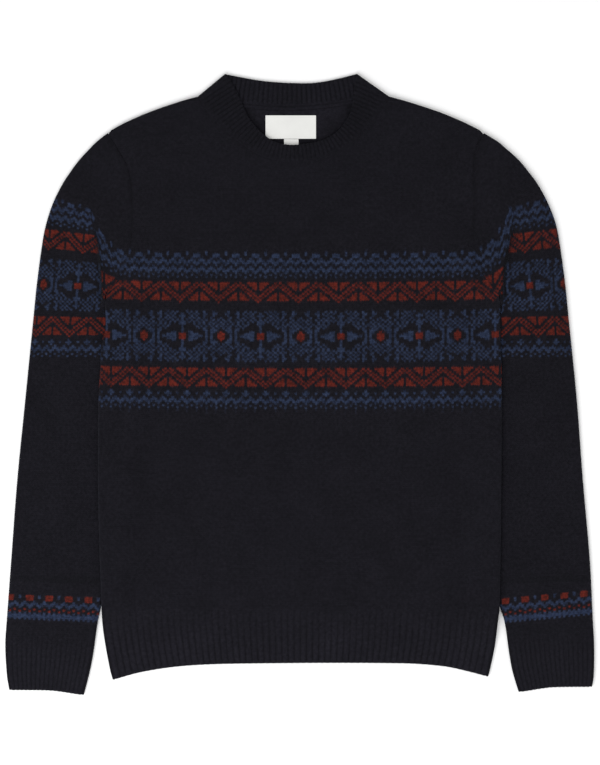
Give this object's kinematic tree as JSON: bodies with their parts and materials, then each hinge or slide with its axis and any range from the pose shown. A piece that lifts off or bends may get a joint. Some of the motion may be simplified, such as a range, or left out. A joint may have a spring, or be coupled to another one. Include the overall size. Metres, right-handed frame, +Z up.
{
  "type": "fair isle jumper",
  "caption": "Crew-neck knitted jumper laid flat on its back, with ribbed neck, cuffs and hem and patterned bands across the chest, sleeves and wrists.",
  "frame": {"origin": "on the floor under the middle of the laid-out jumper", "axes": "+X to the wearer's left, +Y from the hem to the neck, +Z up off the floor, out of the front"},
  "size_m": [0.719, 0.758, 0.0129],
  "materials": {
    "knit_panel": "dark navy lambswool in stocking stitch, with blue and rust red pattern yarn",
    "knit_rib": "dark navy lambswool in rib",
    "woven_label": "white woven satin, blank"
  },
  "bodies": {
    "root": {"front": "knit_panel", "back": "knit_panel", "left_sleeve": "knit_panel", "right_sleeve": "knit_panel", "left_cuff": "knit_rib", "right_cuff": "knit_rib", "front_hem_rib": "knit_rib", "back_hem_rib": "knit_rib", "neckband": "knit_rib", "neck_label": "woven_label", "size_tab": "woven_label"}
  },
  "joints": []
}
